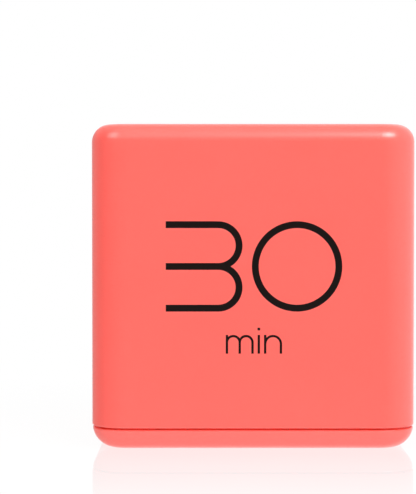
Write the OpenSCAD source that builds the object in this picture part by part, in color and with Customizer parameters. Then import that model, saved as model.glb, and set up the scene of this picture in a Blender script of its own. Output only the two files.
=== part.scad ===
// Cube timer: a square case that is laid on one of its faces to start a count.
// Millimetres, +Z up. The origin is the centre of the base, and the 30 minute face looks along -Y.

/* [Case] */
// Width, depth and height of the cube
cube_size = 66; // [60:0.5:76]
// Plan radius of the four upright edges
corner_r = 7.3; // [6.5:0.1:8.5]
// Radius of the top edges
top_r = 3.6; // [2.8:0.1:4.4]
// Radius of the bottom edges
base_r = 4.7; // [4.4:0.1:5.2]
// Thickness of the case walls
wall = 2; // [1.9:0.05:2.4]
// Thickness of the base cover's floor
base_t = 2.4; // [2.2:0.1:3]
// Height of the seam between the shell and the base cover
seam_z = 4.4; // [4.2:0.1:5]
// Open height of the seam groove
seam_gap = 0.35; // [0.2:0.05:0.5]
// Rounding of the two seam edges
seam_edge = 0.3; // [0.15:0.05:0.4]
// Depth of the seam groove, in to the shoulder that the shell's lip stands on
seam_depth = 0.65; // [0.5:0.05:0.65]
// How far the base cover stands back from the shell's faces
cover_inset = 0.08; // [0:0.02:0.15]
// Thickness of the shell's lower lip, outside the cover's tongue
lip_t = 0.85; // [0.7:0.05:1]
// Height of the cover's tongue above the seam
tongue_h = 2.4; // [1.6:0.1:3]
// Clearance between the tongue and the lip
fit_gap = 0.15; // [0.1:0.05:0.2]

/* [Cover screws] */
// Distance of the screw posts from the side faces
post_edge = 8.8; // [8.4:0.1:9.4]
// Radius of the screw posts in the shell
post_r = 3; // [2.6:0.1:3.2]
// Radius of the raised bosses in the base cover
boss_r = 3.4; // [3.2:0.1:3.6]
// Height of the bosses' tops, where the posts stand
boss_z = 5; // [4.8:0.1:6]
// Depth of the counterbores under the base
screw_seat = 3; // [2.6:0.1:3.4]
// Thickness of the webs that tie the posts to the walls
web_t = 1.2; // [1:0.1:1.6]
// Shank radius of the cover screws
screw_r = 1; // [0.9:0.05:1.2]
// Shank length of the cover screws
screw_l = 10; // [7:0.5:14]
// Head radius of the cover screws
head_r = 2.2; // [1.9:0.1:2.4]
// Head height of the cover screws
head_h = 1.6; // [1.2:0.1:1.8]

/* [Print] */
// Height of the numerals between the middles of their strokes
digit_h = 16.77; // [14:0.1:18]
// Stroke width of the numerals
digit_stroke = 1.38; // [0.9:0.05:1.6]
// Straight length of a numeral's bars
digit_bar = 10.54; // [9:0.05:12]
// Space between two numerals
digit_gap = 1.87; // [1.4:0.05:2.6]
// Height of the numerals' lower edge above the base
digit_z = 28.19; // [27:0.1:32]
// Stroke width of the unit word
unit_stroke = 0.48; // [0.3:0.02:0.5]
// Letter height of the unit word
unit_h = 3.79; // [3.2:0.05:4.4]
// Height of the unit word's lower edge above the base
unit_z = 19.72; // [17:0.1:22]
// Thickness of the ink, which lies flush in the faces
ink_t = 0.05; // [0.04:0.01:0.1]

/* [Display] */
// Distance of the display window's ends from the side faces
window_edge = 14; // [13:0.5:16]
// Depth of the display window
window_d = 18; // [15:0.5:20]
// Width of the ledge that the lens sits on
lens_ledge = 2; // [1.6:0.1:2.4]
// Thickness of the lens
lens_t = 1; // [0.8:0.05:1.1]
// Thickness of the lens tape
tape_t = 0.1; // [0.08:0.02:0.2]
// How far the lens lies below the top face
lens_set = 0.1; // [0.05:0.05:0.2]
// How far the display glass reaches beyond the window's ends
glass_margin = 2; // [1.4:0.1:2.4]
// How far the rear glass reaches beyond the window's sides
view_margin = 1.1; // [0.8:0.1:1.4]
// Depth of the connector ledge on each side of the rear glass
glass_ledge = 2.9; // [2.6:0.1:3.2]
// Thickness of each display glass
glass_t = 0.7; // [0.5:0.05:0.9]
// Thickness of the polarizer and the reflector
film_t = 0.2; // [0.15:0.05:0.25]
// Gap between the display and the top wall
glass_gap = 0.2; // [0.15:0.05:0.3]
// Height of the space between the reflector and the board
board_drop = 4; // [3.5:0.1:5]
// Wall of the display holder
holder_t = 1.4; // [1.2:0.1:1.8]
// Thickness of each zebra strip
zebra_t = 1.8; // [1.4:0.1:2]

/* [Main board] */
// Gap between the main board and the screw posts
board_post_gap = 1.4; // [1:0.1:1.8]
// Thickness of the main board
board_t = 1.2; // [1:0.1:1.6]
// Distance of the board's holes from its edges
board_edge = 3; // [2.8:0.1:3.4]
// Radius of the board bosses in the shell
board_boss_r = 2.3; // [2:0.1:2.5]
// Shank radius of the small screws
small_r = 0.8; // [0.7:0.05:0.9]
// Head radius of the small screws
small_head_r = 1.7; // [1.5:0.1:1.9]
// Head height of the small screws
small_head_h = 1.2; // [1:0.1:1.4]
// Shank length of the small screws below what they hold
small_l = 3; // [2.4:0.1:3.2]
// Radius of the resin drop over the chip
blob_r = 6.5; // [5.5:0.1:7]
// Height of the resin drop
blob_h = 1.8; // [1.4:0.1:2.2]
// Radius of the crystal's can
crystal_r = 1; // [0.9:0.05:1.2]
// Length of the crystal's can
crystal_l = 6; // [5:0.1:6.5]
// Radius of the capacitor
capacitor_r = 2.5; // [2:0.1:2.8]
// Length of the capacitor
capacitor_l = 7; // [5:0.5:9]
// Length of a chip resistor
resistor_l = 2; // [1.6:0.1:2.2]
// Width of a chip resistor
resistor_w = 1.25; // [0.8:0.05:1.6]
// Height of a chip resistor
resistor_h = 0.6; // [0.4:0.05:0.8]
// Spacing of the chip resistors, along and across the rows
resistor_step = [4, 3]; // [2.5:0.5:5]
// Space between the capacitor and the wires in front of it
capacitor_gap = 1.3; // [0.5:0.1:2]

/* [Tilt sensors] */
// Outer radius of a tilt sensor's can
can_r = 2.5; // [2.4:0.05:2.8]
// Length of a tilt sensor's can
can_l = 9; // [8.5:0.1:10]
// Wall of a tilt sensor's can
can_t = 0.3; // [0.25:0.05:0.35]
// Radius of the loose ball
ball_r = 1.9; // [1.7:0.05:2]
// Length of the plug inside the can
plug_l = 1.5; // [1.2:0.1:1.8]

/* [Batteries] */
// Diameter of a cell
cell_d = 10.5; // [10:0.1:10.6]
// Length of a cell over its nub
cell_l = 44.5; // [44:0.1:44.8]
// Radius of a cell's nub
nub_r = 1.9; // [1.7:0.1:2.2]
// Height of a cell's nub
nub_h = 1.1; // [0.9:0.1:1.3]
// Space between the two cells
cell_gap = 0.7; // [0.5:0.1:1]
// Space between a cell and the bay's side wall
cell_side = 1.65; // [1.6:0.05:1.9]
// Space above and below a cell
cell_clear = 0.3; // [0.2:0.05:0.5]
// Thickness of the bay's walls and roof
bay_wall = 1.2; // [1:0.1:1.3]
// Space between the bay and the rear screw posts
bay_post_gap = 0.9; // [0.6:0.1:1.2]
// Thickness of a contact plate
plate_t = 0.4; // [0.3:0.05:0.5]
// Width of a contact plate
plate_w = 8.6; // [7.5:0.1:9]
// Height of a positive contact's dimple
dimple_h = 0.5; // [0.4:0.05:0.6]
// Width of a contact's solder tab
lug_w = 2.2; // [1.8:0.1:2.6]
// Height of a solder tab above the bay's roof
lug_up = 2.5; // [2:0.1:4]
// Wire diameter of the contact springs
spring_wire = 0.5; // [0.4:0.05:0.5]
// Coil radius of a spring at its plate
spring_r = 2.8; // [2.6:0.1:3.2]
// Coil radius of a spring at its cell
spring_tip_r = 2; // [1.8:0.1:2.4]
// Pitch of a spring's turns
spring_pitch = 0.95; // [0.95:0.05:1.1]
// Number of turns in a spring
spring_turns = 3.5; // [3:0.25:3.75]

/* [Battery door] */
// Thickness of the door
door_t = 1.6; // [1.4:0.05:1.7]
// How far the door's face lies above the base's face
door_set = 0.15; // [0.1:0.05:0.2]
// Width of the ledge that the door closes against
door_ledge = 1.2; // [1:0.1:1.3]
// Gap around the door
door_gap = 0.2; // [0.15:0.05:0.3]
// Width of each hook tab
tab_w = 2; // [1.6:0.1:2.2]
// Thickness of each hook tab
tab_t = 1.2; // [1:0.1:1.4]
// Reach of each hook tab beyond the hinge line
tab_reach = 2.6; // [2.4:0.1:3]
// Clearance around the hook tabs
tab_clear = 0.3; // [0.2:0.05:0.4]
// Width of the snap arm
arm_w = 4; // [3:0.1:4.2]
// Height of the snap arm above the door
arm_h = 2.4; // [2.2:0.1:2.6]
// Thickness of the snap arm
arm_t = 0.8; // [0.6:0.05:1]
// Radius of the bead on the snap arm
bead_r = 0.3; // [0.25:0.05:0.35]
// How far the bead reaches over the ledge
bead_bite = 0.1; // [0.05:0.05:0.15]
// Number of grip grooves in the door
grip_count = 4; // [3:1:6]
// Length of the grip grooves
grip_l = 12; // [8:0.5:16]

/* [Power switch] */
// Gap between the switch's ear and the buzzer's ring
switch_gap = 0.2; // [0.15:0.05:0.4]
// Distance of the switch behind the front screw posts
switch_back = 5.15; // [5:0.05:6]
// Travel of the switch
switch_travel = 2; // [1.5:0.1:2.2]
// Length of the knob
knob_l = 4; // [3.6:0.1:4.4]
// Width of the knob
knob_w = 2.6; // [2.2:0.1:3]
// How far the knob's tip lies above the base's face
knob_set = 0.3; // [0.2:0.05:0.5]
// Clearance around the knob in its slot
knob_gap = 0.25; // [0.15:0.05:0.35]
// How far the knob's flange reaches past the knob on each side
flange_lip = 1.2; // [1:0.1:1.5]
// Thickness of the knob's flange
flange_t = 0.8; // [0.7:0.05:0.9]
// Depth of the finger pocket round the knob
pocket_depth = 1; // [0.7:0.05:1.2]
// Width of the switch's stem
stem_w = 1.9; // [1.6:0.1:2]
// Depth of the stem in the knob
stem_sink = 1.4; // [1:0.1:1.6]
// How far the slider inside the frame reaches past the stem on each side
slider_lip = 1.3; // [1:0.1:1.4]
// Length of the switch's frame
frame_l = 9; // [8.8:0.1:9.4]
// Width of the switch's frame
frame_w = 5; // [4.6:0.1:5.6]
// Space between the knob's flange and the switch's frame
frame_lift = 0.65; // [0.5:0.05:0.9]
// Height of the switch's frame
frame_h = 3.4; // [3.2:0.1:4]
// Length of the switch's pins above its housing
pin_l = 2.5; // [2:0.1:4]

/* [Buzzer] */
// Space between the buzzer's ring and the left front boss
buzzer_post_gap = 1.6; // [1.2:0.1:2]
// Space between the buzzer's ring and the walls in front of it and behind it
buzzer_side = 0.75; // [0.6:0.05:1.5]
// Bare rim of the buzzer's brass plate round its ceramic disc
ceramic_edge = 3; // [2.4:0.1:4]
// Thickness of the brass plate and of the ceramic disc
buzzer_t = 0.25; // [0.2:0.05:0.35]
// Wall of the buzzer's seat ring
ring_t = 1.05; // [0.9:0.05:1.2]
// Height of the buzzer's seat above the floor
seat_h = 2.2; // [1.8:0.1:3]
// Radius of a sound hole
sound_r = 0.75; // [0.5:0.05:0.9]
// Radius of the circle of sound holes
sound_ring_r = 4.5; // [3.5:0.1:5.5]
// Number of sound holes in the circle
sound_count = 6; // [4:1:8]

/* [Wires] */
// Outer diameter of a wire
wire_d = 1.2; // [0.9:0.1:1.3]
// Distance of the wire pads from the board's edges
pad_edge = 2.4; // [2:0.1:3]

/* [Hidden] */
$fn = 96;
// Small overshoot of a cut beyond the surface that it opens
over = 0.5;
// Running clearance of parts that sit in a pocket
loose = 0.05;
// Clearance of a display or board part in its pocket
pocket_gap = 0.15;

case_colour = [1, 0.45, 0.41];
ink_colour = [0.11, 0.07, 0.07];
steel_colour = [0.75, 0.76, 0.78];
brass_colour = [0.85, 0.68, 0.35];
black_colour = [0.12, 0.12, 0.13];
board_colour = [0.1, 0.36, 0.2];
glass_colour = [0.62, 0.68, 0.6];
red_colour = [0.75, 0.12, 0.1];

// Case levels
half = cube_size / 2;
core = half - corner_r;
inner = half - wall;
top_in = cube_size - wall;
shell_z = seam_z + seam_gap / 2;
cover_z = seam_z - seam_gap / 2;
tongue_z = shell_z + tongue_h;
post_at = half - post_edge;
post_spots = [for (x = [-1, 1], y = [-1, 1]) [x * post_at, y * post_at]];
pilot_r = screw_r + loose;
web_z = tongue_z + 3;

// Display and board levels, from the top wall down
window_w = cube_size - 2 * window_edge;
lens_w = window_w + 2 * lens_ledge;
lens_d = window_d + 2 * lens_ledge;
lens_r = 3;
glass_w = window_w + 2 * glass_margin;
rear_glass_d = window_d + 2 * view_margin;
glass_d = rear_glass_d + 2 * glass_ledge;
lens_z = cube_size - lens_set - lens_t;
tape_z = lens_z - tape_t;
film_z = top_in - glass_gap - film_t;
front_glass_z = film_z - glass_t;
rear_glass_z = front_glass_z - glass_t;
reflector_z = rear_glass_z - film_t;
board_top = reflector_z - board_drop;
board_z = board_top - board_t;
holder_w = glass_w + 2 * pocket_gap + 2 * holder_t;
holder_d = glass_d + 2 * pocket_gap + 2 * holder_t;
board_d = 2 * (post_at - post_r - board_post_gap);
board_hole = [holder_w / 2 + pocket_gap + board_boss_r, board_d / 2 - board_edge];
board_w = 2 * (board_hole.x + board_edge);
board_spots = [for (x = [-1, 1], y = [-1, 1]) [x * board_hole.x, y * board_hole.y]];
holder_z = film_z + film_t - loose;
zebra_y = rear_glass_d / 2 + glass_ledge / 2;
zebra_l = glass_w - 2;
can_in_r = can_r - can_t;
can_z = board_z - can_r - loose;
ball_end = 0.1;
tilt_x_at = [14, 8];
tilt_y_at = [-13, 6];

// Battery bay, from the door up
door_z = door_set + door_t;
cell_z = door_z + cell_clear + cell_d / 2;
roof_in = cell_z + cell_d / 2 + cell_clear;
roof_z = roof_in + bay_wall;
spring_bend = 0.9 * spring_wire;
spring_l = 2 * (spring_wire + spring_bend) + spring_turns * spring_pitch;
bay_l = cell_l + 2 * plate_t + dimple_h + spring_l;
bay_w = 2 * cell_d + cell_gap + 2 * cell_side;
bay_y = post_at - post_r - bay_post_gap - bay_wall - bay_w / 2;
cell_step = (cell_d + cell_gap) / 2;
door_l = bay_l + 2 * door_ledge;
door_w = bay_w + 2 * door_ledge;
door_room = door_z + 0.1;
hinge_x = -door_l / 2 + door_t / 2;
hinge_z = door_set + door_t / 2;
tab_z = base_t + tab_clear;
tab_y = bay_w / 2 - tab_clear - tab_w / 2;
tab_slot_z = hinge_z + norm([tab_reach, tab_z + tab_t - hinge_z]) + tab_clear;
arm_z = door_z + arm_h;
plate_z = arm_z + tab_clear;
plate_h = cell_z + spring_r + 2 * spring_wire - plate_z;
lug_z = roof_z + lug_up;

// Strip of the base cover between the bay and the front rim
bay_front = bay_y - bay_w / 2 - bay_wall;
strip_y = (bay_front - inner) / 2;
strip_w = bay_front + inner;
switch_y = switch_back - post_at;
flange_z = base_t + loose;
flange_l = knob_l + 2 * switch_travel + 4 * knob_gap;
flange_w = knob_w + 2 * flange_lip;
stem_z = flange_z + flange_t - stem_sink;
frame_z = flange_z + flange_t + frame_lift;
frame_t = 0.45;
slider_t = 1;
housing_z = frame_z + frame_t + slider_t + 4 * loose;
pin_z = frame_z + frame_h + pin_l;
pin_step = 2.5;
buzzer_z = base_t + seat_h;
ring_r = strip_w / 2 - buzzer_side;
buzzer_r = ring_r - ring_t - pocket_gap;
ceramic_r = buzzer_r - ceramic_edge;
buzzer_at = [boss_r + buzzer_post_gap + ring_r - post_at, strip_y];
ear_r = small_head_r + 0.2;
ear_x = (flange_l + switch_travel) / 2 + ear_r + knob_gap;
switch_x = buzzer_at.x + ring_r + switch_gap + ear_r + ear_x;

// Box that is centred on X and Y and stands on z
module block(size, z) {
    translate([-size.x / 2, -size.y / 2, z]) cube(size);
}

// Flat outline of a rectangle with round corners
module rounded_rect(w, d, r) {
    square([w - 2 * r, d], center = true);
    square([w, d - 2 * r], center = true);
    for (x = [-1, 1], y = [-1, 1]) translate([x * (w / 2 - r), y * (d / 2 - r)]) circle(r);
}

// Plate with round corners that stands on z
module rounded_plate(w, d, r, h, z) {
    translate([0, 0, z]) linear_extrude(h) rounded_rect(w, d, r);
}

// What is cut off a square corner, at the origin's upper right, to round it
module corner_waste(r) {
    difference() {
        square(r + over);
        circle(r);
    }
}

// Sweeps a wall section, drawn outward from the corner centres, round the rounded square
module around() {
    for (turn = [0:3]) rotate(90 * turn) translate([core, core, 0]) {
        rotate_extrude(angle = 90) children();
        rotate([90, 0, 0]) linear_extrude(2 * core) children();
    }
}

// Wall section with a round upper edge
module dome_section(w, z0, z1, r) {
    difference() {
        translate([0, z0]) square([w, z1 - z0]);
        translate([w - r, z1 - r]) corner_waste(r);
    }
}

module shell_section() {
    difference() {
        dome_section(corner_r, shell_z, cube_size, top_r);
        dome_section(corner_r - wall, shell_z - over, top_in, top_r - wall);
        translate([0, shell_z - over]) square([corner_r - lip_t, tongue_h + fit_gap + over]);
        translate([corner_r - seam_edge, shell_z + seam_edge]) mirror([0, 1]) corner_waste(seam_edge);
    }
}

module cover_section() {
    cover_r = corner_r - cover_inset;
    difference() {
        union() {
            dome_section(cover_r, 0, cover_z, seam_edge);
            square([corner_r - seam_depth, shell_z]);
            square([corner_r - lip_t - fit_gap, tongue_z]);
        }
        translate([0, base_t]) square([corner_r - wall, tongue_z]);
        translate([cover_r - base_r, base_r]) mirror([0, 1]) corner_waste(base_r);
    }
}

// Screw with its seat at the origin, shank up, and a cross recess in its head
module screw(shank_r, shank_l, h_r, h_h) {
    slot = [1.5 * h_r, 0.28 * h_r];
    difference() {
        union() {
            cylinder(r = shank_r, h = shank_l);
            translate([0, 0, -h_h]) cylinder(r = h_r, h = h_h);
        }
        for (turn = [0, 90]) rotate(turn) block([slot.x, slot.y, h_h / 2 + over], -h_h - over);
    }
}

// Straight stroke of a numeral, from the point at, running along the angle turn
module stroke(at, l, turn, w) {
    translate(at) rotate(turn) translate([0, -w / 2]) square([l, w]);
}

// Ring stroke round a centre
module ring(at, r, w) {
    translate(at) difference() {
        circle(r + w / 2);
        circle(r - w / 2);
    }
}

// Half of a ring stroke, on the side that the angle turn points to
module half_ring(at, r, w, turn) {
    translate(at) rotate(turn) intersection() {
        ring([0, 0], r, w);
        translate([0, -r - w]) square(2 * (r + w));
    }
}

// Numerals stand on the middle of their lower stroke, with their left edge at x = 0
bowl_r = digit_h / 4;
bowl_digit_w = digit_bar + bowl_r + digit_stroke / 2;
loop_r = digit_h * 0.32;
zero_w = digit_h + digit_stroke;
six_w = 2 * loop_r + digit_stroke;
one_flag = 3.2;
one_w = one_flag + digit_stroke / 2;

module digit_0() {
    ring([zero_w / 2, digit_h / 2], digit_h / 2, digit_stroke);
}

module digit_1() {
    stem = one_flag;
    stroke([stem, -digit_stroke / 2], zero_w, 90, digit_stroke);
    translate([stem, digit_h]) rotate(225) translate([-digit_stroke / 2, -digit_stroke / 2])
        square([one_flag * sqrt(2), digit_stroke]);
}

module digit_3() {
    for (level = [0, 0.5, 1]) stroke([0, level * digit_h], digit_bar, 0, digit_stroke);
    for (level = [1, 3]) half_ring([digit_bar, level * bowl_r], bowl_r, digit_stroke, 0);
}

module digit_5() {
    stroke([0, 0], digit_bar, 0, digit_stroke);
    stroke([0, digit_h / 2], digit_bar, 0, digit_stroke);
    stroke([0, digit_h], digit_bar + bowl_r / 2, 0, digit_stroke);
    stroke([digit_stroke / 2, digit_h / 2], digit_h / 2, 90, digit_stroke);
    half_ring([digit_bar, bowl_r], bowl_r, digit_stroke, 0);
}

module digit_6() {
    lean = 30;
    sink = 0.04;
    lead = sqrt(2 * loop_r * sink);
    middle = [six_w / 2, loop_r];
    joint = middle + (loop_r - sink) * [-cos(lean), sin(lean)] + lead * [sin(lean), cos(lean)];
    ring(middle, loop_r, digit_stroke);
    stroke(joint, (digit_h - joint.y) / cos(lean), 90 - lean, digit_stroke);
}

// The unit word below the numerals: stems with round arches, drawn from its middle
module unit_word() {
    m_step = 2.57;
    n_step = 3.17;
    letter_gap = 1.27;
    dot_gap = 0.9;
    dot = 0.55;
    word_w = 2 * m_step + 2 * letter_gap + n_step;
    m_x = -word_w / 2;
    i_x = m_x + 2 * m_step + letter_gap;
    n_x = i_x + letter_gap;
    crown = unit_h - unit_stroke / 2;
    for (x = [m_x, i_x, n_x]) stroke([x, 0], unit_h, 90, unit_stroke);
    for (arch = [[m_x, m_step], [m_x + m_step, m_step], [n_x, n_step]]) {
        r = arch[1] / 2;
        half_ring([arch[0] + r, crown - r], r, unit_stroke, 90);
        stroke([arch[0] + 2 * r, 0], crown - r, 90, unit_stroke);
    }
    translate([i_x, unit_h + dot_gap + dot / 2]) square(dot, center = true);
}

// Artwork of one face, drawn from the middle of its lower edge
module face_print(minutes) {
    base = digit_z + digit_stroke / 2;
    if (minutes == 5) translate([-bowl_digit_w / 2, base]) digit_5();
    if (minutes == 15) {
        left = -(one_w + digit_gap + digit_stroke + bowl_digit_w) / 2;
        translate([left, base]) digit_1();
        translate([left + one_w + digit_gap + digit_stroke, base]) digit_5();
    }
    if (minutes == 30) {
        left = -(bowl_digit_w + digit_gap + zero_w) / 2;
        translate([left, base]) digit_3();
        translate([left + bowl_digit_w + digit_gap, base]) digit_0();
    }
    if (minutes == 60) {
        left = -(six_w + digit_gap + zero_w) / 2;
        translate([left, base]) digit_6();
        translate([left + six_w + digit_gap, base]) digit_0();
    }
    translate([0, unit_z]) unit_word();
}

// Minutes on each upright face, and the turn from the front face to it
faces = [[30, 0], [60, 90], [15, 180], [5, 270]];

// Ink of one face, reaching outward by the length out beyond the face
module ink(minutes, out) {
    turn = [for (face = faces) if (face[0] == minutes) face[1]][0];
    rotate(turn) translate([0, ink_t - half, 0]) rotate([90, 0, 0])
        linear_extrude(ink_t + out) face_print(minutes);
}

module main_shell() {
    color(case_colour) difference() {
        union() {
            around() shell_section();
            block([2 * core, 2 * core, wall], top_in);
            for (at = post_spots) translate(at) {
                translate([0, 0, boss_z]) cylinder(r = post_r, h = top_in - boss_z);
                post_web([sign(at.x), 0]);
                post_web([0, sign(at.y)]);
            }
            for (at = board_spots) translate([at.x, at.y, board_top])
                cylinder(r = board_boss_r, h = top_in - board_top);
        }
        rounded_plate(window_w, window_d, lens_r - 1, cube_size, top_in - over);
        rounded_plate(lens_w, lens_d, lens_r, cube_size, tape_z);
        for (at = post_spots) translate([at.x, at.y, boss_z - over])
            cylinder(r = pilot_r, h = screw_seat + screw_l - boss_z + over + 1);
        for (at = board_spots) translate([at.x, at.y, board_top - over])
            cylinder(r = small_r + loose, h = small_l + over + 1);
        for (face = faces) ink(face[0], over);
    }
}

// Web from a post to the wall on the side that way points to
module post_web(way) {
    reach = inner - post_at;
    middle = way * reach / 2;
    size = [max(abs(way.x) * reach, web_t), max(abs(way.y) * reach, web_t), top_in - web_z];
    translate(middle) block(size, web_z);
}

module base_cover() {
    color(case_colour) difference() {
        union() {
            around() cover_section();
            block([2 * core, 2 * core, base_t], 0);
            translate([0, bay_y, 0]) block([bay_l + 2 * bay_wall, bay_w + 2 * bay_wall, roof_z], 0);
            for (at = post_spots) translate(at) cylinder(r = boss_r, h = boss_z);
            translate([buzzer_at.x, buzzer_at.y, base_t - over])
                cylinder(r = ring_r, h = seat_h + 4 * buzzer_t + over);
            for (side = [-1, 1]) translate([switch_x + side * ear_x, switch_y, 0])
                cylinder(r = ear_r, h = frame_z);
        }
        for (at = post_spots) translate([at.x, at.y, 0]) {
            translate([0, 0, -over]) cylinder(r = head_r + 0.4, h = screw_seat + over);
            cylinder(r = screw_r + 0.3, h = boss_z + over);
        }
        translate([0, bay_y, 0]) bay_room();
        translate([buzzer_at.x, buzzer_at.y, 0]) buzzer_room();
        translate([switch_x, switch_y, 0]) switch_room();
    }
}

// Hollow of the battery bay with the door's seat and the openings for tabs and lugs
module bay_room() {
    slot_w = tab_w + 2 * tab_clear;
    slot_l = tab_reach - hinge_x + tab_clear - bay_l / 2 + over;
    scoop_r = 5;
    scoop_reach = 1.2;
    seat_r = 2.5 * door_gap;
    bead_room = 2 * (bead_r + tab_clear);
    block([bay_l, bay_w, roof_in + over], -over);
    rounded_plate(door_l + 2 * door_gap, door_w + 2 * door_gap, seat_r, door_room + over, -over);
    translate([bay_l / 2, 0, 0]) block([bead_room, arm_w + 2 * tab_clear, bead_room], base_t);
    for (side = [-1, 1]) translate([over - bay_l / 2 - slot_l / 2, side * tab_y, 0])
        block([slot_l, slot_w, tab_slot_z - base_t], base_t);
    for (side = [-1, 1])
        translate([-bay_l / 2 + plate_t / 2, side * cell_step, 0])
            block([plate_t + 2 * loose, lug_w + 4 * loose, roof_z + over - cell_z], cell_z);
    translate([door_l / 2 + door_gap + scoop_reach - scoop_r, 0, -over])
        cylinder(r = scoop_r, h = door_room + over - 0.5);
}

// Seat of the buzzer and its sound holes
module buzzer_room() {
    translate([0, 0, buzzer_z]) cylinder(r = buzzer_r + pocket_gap, h = over + 4 * buzzer_t);
    translate([0, 0, base_t]) cylinder(r = buzzer_r - ring_t, h = seat_h + over);
    translate([0, 0, -over]) cylinder(r = sound_r, h = base_t + 2 * over);
    for (turn = [1:sound_count]) rotate(360 * turn / sound_count)
        translate([sound_ring_r, 0, -over]) cylinder(r = sound_r, h = base_t + 2 * over);
}

// Finger pocket, knob slot and screw holes of the switch
module switch_room() {
    slot = [knob_l + switch_travel + 2 * knob_gap, knob_w + 2 * knob_gap];
    pocket_w = slot.y + 4;
    rounded_plate(slot.x + 4, pocket_w, 2, pocket_depth + over, -over);
    block([slot.x, slot.y, base_t + 2 * over], -over);
    for (side = [-1, 1]) translate([side * ear_x, 0, frame_z - small_l - 0.3])
        cylinder(r = small_r + loose, h = small_l + over + 0.3);
}

module cover_screws() {
    color(steel_colour) for (at = post_spots) translate([at.x, at.y, screw_seat])
        screw(screw_r, screw_l, head_r, head_h);
}

module print_5() {
    color(ink_colour) ink(5, 0);
}

module print_15() {
    color(ink_colour) ink(15, 0);
}

module print_30() {
    color(ink_colour) ink(30, 0);
}

module print_60() {
    color(ink_colour) ink(60, 0);
}

module display_lens() {
    trim = 2 * pocket_gap;
    color(glass_colour) rounded_plate(lens_w - trim, lens_d - trim, lens_r - pocket_gap, lens_t, lens_z);
}

module lens_tape() {
    trim = 4 * pocket_gap;
    color(black_colour) difference() {
        rounded_plate(lens_w - trim, lens_d - trim, lens_r - 2 * pocket_gap, tape_t, tape_z);
        rounded_plate(window_w, window_d, lens_r - 1, tape_t + 2 * over, tape_z - over);
    }
}

module lcd_polarizer() {
    color(glass_colour) block([glass_w - 1, rear_glass_d, film_t], film_z);
}

module lcd_front_glass() {
    color(glass_colour) block([glass_w, glass_d, glass_t], front_glass_z);
}

module lcd_rear_glass() {
    color(glass_colour) block([glass_w, rear_glass_d, glass_t], rear_glass_z);
}

module lcd_reflector() {
    color(steel_colour) block([glass_w - 1, rear_glass_d - 1, film_t], reflector_z);
}

module lcd_holder() {
    gap = 2 * pocket_gap;
    color("white") difference() {
        block([holder_w, holder_d, holder_z - board_top], board_top);
        block([glass_w + gap, glass_d + gap, holder_z], front_glass_z);
        block([glass_w + gap, rear_glass_d + gap, holder_z], reflector_z - loose);
        block([glass_w - 6, rear_glass_d - 3, holder_z], board_top - over);
        for (side = [-1, 1]) translate([0, side * zebra_y, 0])
            block([zebra_l + gap, zebra_t + 2 * loose, holder_z], board_top - over);
    }
}

module zebra_strips() {
    color("pink") for (side = [-1, 1]) translate([0, side * zebra_y, 0])
        block([zebra_l, zebra_t, front_glass_z - board_top], board_top);
}

module main_board() {
    color(board_colour) difference() {
        block([board_w, board_d, board_t], board_z);
        for (at = board_spots) translate([at.x, at.y, board_z - over])
            cylinder(r = small_r + 0.2, h = board_t + 2 * over);
    }
}

module board_screws() {
    color(steel_colour) for (at = board_spots) translate([at.x, at.y, board_z])
        screw(small_r, small_l + board_t, small_head_r, small_head_h);
}

// Places under the board
blob_at = [1, -3];
crystal_at = [13, -7];
front_pad_y = -board_d / 2 + pad_edge;
side_pad_x = -board_w / 2 + pad_edge;
front_pads = [-14, -10.5, 10.5, 14];
side_pads = [1, 8];
capacitor_at = [-9, front_pad_y + wire_d / 2 + capacitor_gap + capacitor_r];
resistor_at = [-2, 9];

module chip_blob() {
    ball = (blob_r * blob_r + blob_h * blob_h) / (2 * blob_h);
    color(black_colour) translate(blob_at) intersection() {
        translate([0, 0, board_z - blob_h + ball]) sphere(ball);
        block([2 * ball, 2 * ball, blob_h + over], board_z - blob_h - over);
    }
}

module crystal() {
    lead = 0.4;
    color(steel_colour) translate([crystal_at.x, crystal_at.y, 0]) {
        translate([0, 0, board_z - crystal_r]) rotate([0, 90, 0]) cylinder(r = crystal_r, h = crystal_l);
        for (side = [-1, 1]) translate([-0.75, side * crystal_r / 2, 0])
            block([1.5 + lead, lead, crystal_r + lead / 2], board_z - crystal_r - lead / 2);
    }
}

module capacitor() {
    color(black_colour) translate([capacitor_at.x, capacitor_at.y, board_z - capacitor_l])
        cylinder(r = capacitor_r, h = capacitor_l);
}

module chip_resistors() {
    size = [resistor_l, resistor_w, resistor_h];
    color(black_colour) for (col = [0:2], row = [0:1])
        translate([resistor_at.x + col * resistor_step.x, resistor_at.y + row * resistor_step.y, 0])
            block(size, board_z - size.z);
}

// Turns a part that is drawn along X, with its middle at the origin, into its place on the board
module tilt_place(at, turn) {
    translate([at.x, at.y, can_z]) rotate(turn) children();
}

// Can of a tilt sensor, closed at its -X end
module tilt_can() {
    translate([-can_l / 2, 0, 0]) rotate([0, 90, 0]) difference() {
        cylinder(r = can_r, h = can_l);
        translate([0, 0, can_t]) cylinder(r = can_in_r, h = can_l);
    }
}

// Plug in the can's open end, with two pins that turn up to the board
module tilt_plug() {
    pin = 0.5;
    pin_y = 1.1;
    reach = 1.2;
    translate([can_l / 2 - plug_l, 0, 0]) rotate([0, 90, 0]) cylinder(r = can_in_r - loose, h = plug_l);
    for (side = [-1, 1]) translate([0, side * pin_y, 0]) {
        translate([can_l / 2 + reach / 2, 0, 0]) block([reach, pin, pin], -pin / 2);
        translate([can_l / 2 + reach - pin / 2, 0, 0]) block([pin, pin, board_z - can_z], 0);
    }
}

module tilt_ball() {
    translate([-can_l / 2 + can_t + ball_end + ball_r, 0, 0]) sphere(ball_r);
}

module tilt_can_x() {
    color(steel_colour) tilt_place(tilt_x_at, 0) tilt_can();
}

module tilt_plug_x() {
    color(black_colour) tilt_place(tilt_x_at, 0) tilt_plug();
}

module tilt_ball_x() {
    color(steel_colour) tilt_place(tilt_x_at, 0) tilt_ball();
}

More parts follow.
